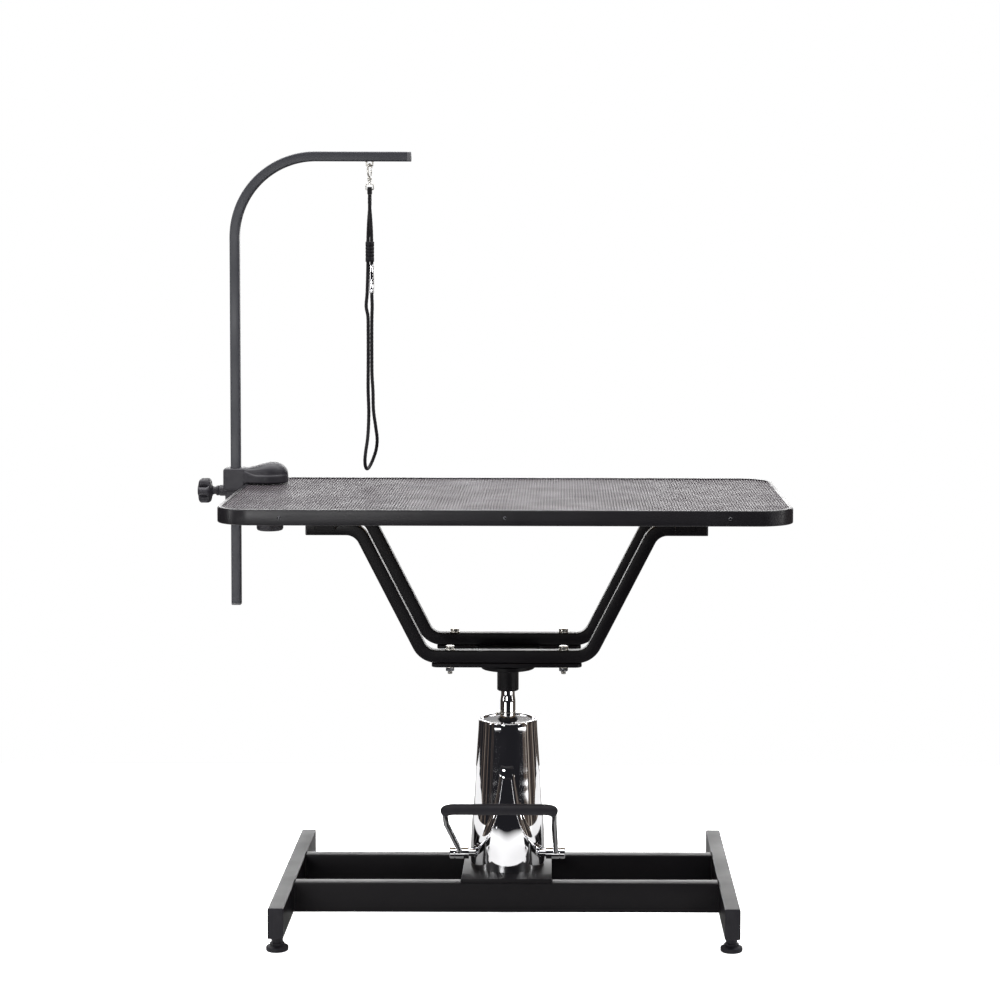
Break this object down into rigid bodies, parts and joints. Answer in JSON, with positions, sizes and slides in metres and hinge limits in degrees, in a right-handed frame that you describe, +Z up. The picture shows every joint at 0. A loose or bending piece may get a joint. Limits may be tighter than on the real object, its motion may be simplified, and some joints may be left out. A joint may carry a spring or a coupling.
{
  "type": "grooming table",
  "caption": "Hydraulic pet grooming table: ribbed top on bent tube frames and a chrome foot-pumped column, with a clamp-on arm and hanging noose.",
  "frame": {"origin": "floor level, centred on the table's overall outline; the pump's axis is 50 mm along +X from it", "axes": "+X along the table top, away from the arm; -Y is the pedal side; +Z up"},
  "size_m": [1.202, 0.6022, 1.54],
  "materials": {
    "powder_coat": "satin black powder coat",
    "arm_coat": "dark grey fine powder coat",
    "chrome": "polished chrome plate",
    "machined_steel": "turned steel",
    "zinc": "zinc and nickel plate",
    "black_screw": "black oxide",
    "ribbed_rubber": "fine ribbed non-slip rubber",
    "black_rubber": "smooth matte rubber",
    "moulded_plastic": "fine textured moulded nylon",
    "grey_plastic": "moulded plastic",
    "board_wood": "plain board",
    "brass": "turned brass",
    "braided_cord": "black braided nylon"
  },
  "bodies": {
    "base": {"base_bar_left": "powder_coat", "base_bar_right": "powder_coat", "bar_plug_left_front": "moulded_plastic", "bar_plug_left_rear": "moulded_plastic", "bar_plug_right_front": "moulded_plastic", "bar_plug_right_rear": "moulded_plastic", "base_rail_front": "powder_coat", "base_rail_rear": "powder_coat", "pump_base_plate": "powder_coat", "pump_cylinder": "machined_steel", "pump_shroud": "chrome", "pump_gland": "black_rubber"},
    "foot_left_front": {"foot_left_front": "black_rubber"},
    "foot_left_rear": {"foot_left_rear": "black_rubber"},
    "foot_right_front": {"foot_right_front": "black_rubber"},
    "foot_right_rear": {"foot_right_rear": "black_rubber"},
    "pedal": {"pedal_bar": "chrome", "pedal_grip": "black_rubber", "pedal_shaft": "chrome"},
    "plunger": {"pump_plunger": "machined_steel"},
    "piston": {"piston_rod": "chrome", "rod_clip": "zinc"},
    "table": {"table_hub": "powder_coat", "mount_plate": "powder_coat", "support_frame_front": "powder_coat", "support_frame_rear": "powder_coat", "frame_bolt_front_left": "zinc", "frame_bolt_front_right": "zinc", "frame_bolt_rear_left": "zinc", "frame_bolt_rear_right": "zinc", "frame_plug_front_left": "moulded_plastic", "frame_plug_front_right": "moulded_plastic", "frame_plug_rear_left": "moulded_plastic", "frame_plug_rear_right": "moulded_plastic", "bearer_left": "powder_coat", "bearer_right": "powder_coat", "table_board": "board_wood", "rubber_mat": "ribbed_rubber", "edge_band": "powder_coat", "trim_screw_left": "black_screw", "trim_screw_middle": "black_screw", "trim_screw_right": "black_screw", "clamp_body": "moulded_plastic"},
    "clamp_pad": {"clamp_pad": "black_rubber"},
    "clamp_knob": {"clamp_knob": "moulded_plastic"},
    "lock_shoe": {"lock_shoe": "brass"},
    "lock_knob": {"lock_knob": "moulded_plastic"},
    "arm": {"arm_tube": "arm_coat", "arm_cap_end": "grey_plastic", "arm_cap_foot": "grey_plastic", "arm_eye": "zinc"},
    "hook": {"snap_hook": "zinc"},
    "gate": {"hook_gate": "zinc"},
    "noose": {"swivel_eye": "zinc", "noose_end": "braided_cord", "noose_cord": "braided_cord", "noose_ferrule": "chrome"},
    "keeper": {"noose_keeper": "black_rubber"}
  },
  "joints": [
    {"name": "column_lift", "type": "slide", "parent": "base", "child": "piston", "axis": [0, 0, 1], "range_m": [-0.009, 0.18]},
    {"name": "top_swivel", "type": "hinge", "parent": "piston", "child": "table", "pos_m": [0.05, 0, 0.4515], "axis": [0, 0, 1], "continuous": true},
    {"name": "pedal_pivot", "type": "hinge", "parent": "base", "child": "pedal", "pos_m": [0.05, -0.03, 0.127], "axis": [1, 0, 0], "range_deg": [0, 23], "stiffness_Nm_per_rad": 14, "springref_deg": -14.32},
    {"name": "plunger_slide", "type": "slide", "parent": "base", "child": "plunger", "axis": [0, 0, -1], "range_m": [0, 0.0082]},
    {"name": "foot_left_front_height", "type": "slide", "parent": "base", "child": "foot_left_front", "axis": [0, 0, 1], "range_m": [-0.012, 0]},
    {"name": "foot_left_rear_height", "type": "slide", "parent": "base", "child": "foot_left_rear", "axis": [0, 0, 1], "range_m": [-0.012, 0]},
    {"name": "foot_right_front_height", "type": "slide", "parent": "base", "child": "foot_right_front", "axis": [0, 0, 1], "range_m": [-0.012, 0]},
    {"name": "foot_right_rear_height", "type": "slide", "parent": "base", "child": "foot_right_rear", "axis": [0, 0, 1], "range_m": [-0.012, 0]},
    {"name": "clamp_pad_slide", "type": "slide", "parent": "table", "child": "clamp_pad", "axis": [0, 0, -1], "range_m": [0, 0.0091]},
    {"name": "clamp_knob_turn", "type": "hinge", "parent": "clamp_pad", "child": "clamp_knob", "pos_m": [-0.4525, 0.19, 0.76], "axis": [0, 0, -1], "range_deg": [0, 2160]},
    {"name": "lock_shoe_slide", "type": "slide", "parent": "table", "child": "lock_shoe", "axis": [-1, 0, 0], "range_m": [0, 0.0031]},
    {"name": "lock_knob_turn", "type": "hinge", "parent": "lock_shoe", "child": "lock_knob", "pos_m": [-0.5333, 0.19, 0.834], "axis": [-1, 0, 0], "range_deg": [0, 720]},
    {"name": "arm_height", "type": "slide", "parent": "table", "child": "arm", "axis": [0, 0, 1], "range_m": [-0.02, 0.15]},
    {"name": "hook_swing", "type": "hinge", "parent": "arm", "child": "hook", "pos_m": [-0.2425, 0.19, 1.5105], "axis": [1, 0, 0], "range_deg": [-60, 60]},
    {"name": "gate_hinge", "type": "hinge", "parent": "hook", "child": "gate", "pos_m": [-0.2403, 0.19471, 1.49], "axis": [0.9063, -0.4226, 0], "range_deg": [0, 25], "stiffness_Nm_per_rad": 0.01, "springref_deg": -17.19},
    {"name": "noose_swivel", "type": "hinge", "parent": "hook", "child": "noose", "pos_m": [-0.2425, 0.19, 1.48], "axis": [0, 0, 1], "continuous": true},
    {"name": "keeper_slide", "type": "slide", "parent": "noose", "child": "keeper", "axis": [0, 0, 1], "range_m": [0, 0.05]}
  ],
  "couplings": [
    {"joint": "plunger_slide", "follows": "pedal_pivot", "m_per_rad": 0.02},
    {"joint": "clamp_pad_slide", "follows": "clamp_knob_turn", "m_per_rad": 0.00023873},
    {"joint": "lock_shoe_slide", "follows": "lock_knob_turn", "m_per_rad": 0.00023873}
  ]
}
